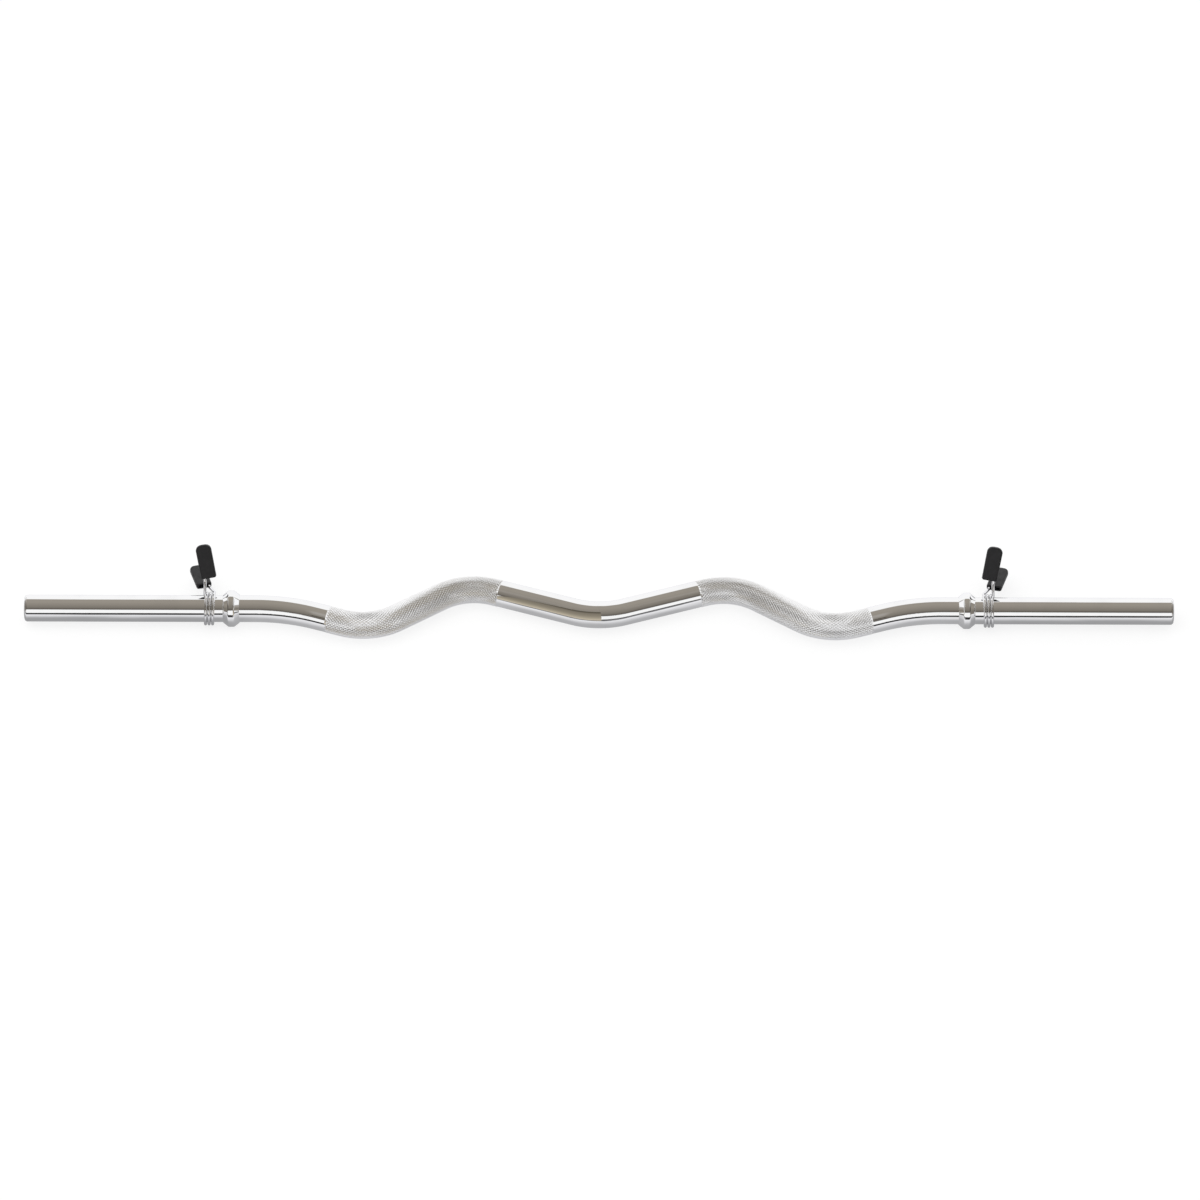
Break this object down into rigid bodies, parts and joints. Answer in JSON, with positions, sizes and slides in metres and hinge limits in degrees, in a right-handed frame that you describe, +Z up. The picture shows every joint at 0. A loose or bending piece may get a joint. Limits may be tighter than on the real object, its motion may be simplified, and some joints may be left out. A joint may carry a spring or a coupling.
{
  "type": "ez curl bar",
  "caption": "Chrome curl bar with a W-shaped knurled grip, straight plate sleeves, bevelled inner collars and squeeze-handle spring clips.",
  "frame": {"origin": "on the floor under the middle of the bar, at the middle of its footprint", "axes": "+X along the bar towards its right end, +Y away from the user, +Z up, with the bends lying level"},
  "size_m": [1.2, 0.1027, 0.0736],
  "materials": {
    "bar_chrome": "polished chrome plate, satin where it is knurled",
    "collar_chrome": "polished chrome plate",
    "spring_wire": "bright chromed spring wire",
    "grip_plastic": "black moulded plastic with a fine texture"
  },
  "bodies": {
    "bar": {"bent_bar": "bar_chrome", "left_sleeve": "bar_chrome", "right_sleeve": "bar_chrome", "left_inner_collar": "collar_chrome", "right_inner_collar": "collar_chrome"},
    "left_coil": {"left_spring_coil": "spring_wire"},
    "left_rear_handle": {"left_rear_spring_leg": "spring_wire", "left_rear_grip": "grip_plastic"},
    "left_front_handle": {"left_front_spring_leg": "spring_wire", "left_front_grip": "grip_plastic"},
    "right_coil": {"right_spring_coil": "spring_wire"},
    "right_rear_handle": {"right_rear_spring_leg": "spring_wire", "right_rear_grip": "grip_plastic"},
    "right_front_handle": {"right_front_spring_leg": "spring_wire", "right_front_grip": "grip_plastic"}
  },
  "joints": [
    {"name": "left_clip_slide", "type": "slide", "parent": "bar", "child": "left_coil", "axis": [-1, 0, 0], "range_m": [-0.0075, 0.205]},
    {"name": "left_clip_turn", "type": "hinge", "parent": "left_coil", "child": "left_rear_handle", "pos_m": [-0.407, -0.013, 0.019], "axis": [1, 0, 0], "continuous": true},
    {"name": "left_clip_squeeze", "type": "hinge", "parent": "left_rear_handle", "child": "left_front_handle", "pos_m": [-0.407, -0.013, 0.019], "axis": [-1, 0, 0], "range_deg": [0, 27], "stiffness_Nm_per_rad": 3.8, "springref_deg": -20.05, "deforming": ["left_spring_coil"]},
    {"name": "right_clip_slide", "type": "slide", "parent": "bar", "child": "right_coil", "axis": [1, 0, 0], "range_m": [-0.0075, 0.205]},
    {"name": "right_clip_turn", "type": "hinge", "parent": "right_coil", "child": "right_rear_handle", "pos_m": [0.407, -0.013, 0.019], "axis": [1, 0, 0], "continuous": true},
    {"name": "right_clip_squeeze", "type": "hinge", "parent": "right_rear_handle", "child": "right_front_handle", "pos_m": [0.407, -0.013, 0.019], "axis": [-1, 0, 0], "range_deg": [0, 27], "stiffness_Nm_per_rad": 3.8, "springref_deg": -20.05, "deforming": ["right_spring_coil"]}
  ]
}
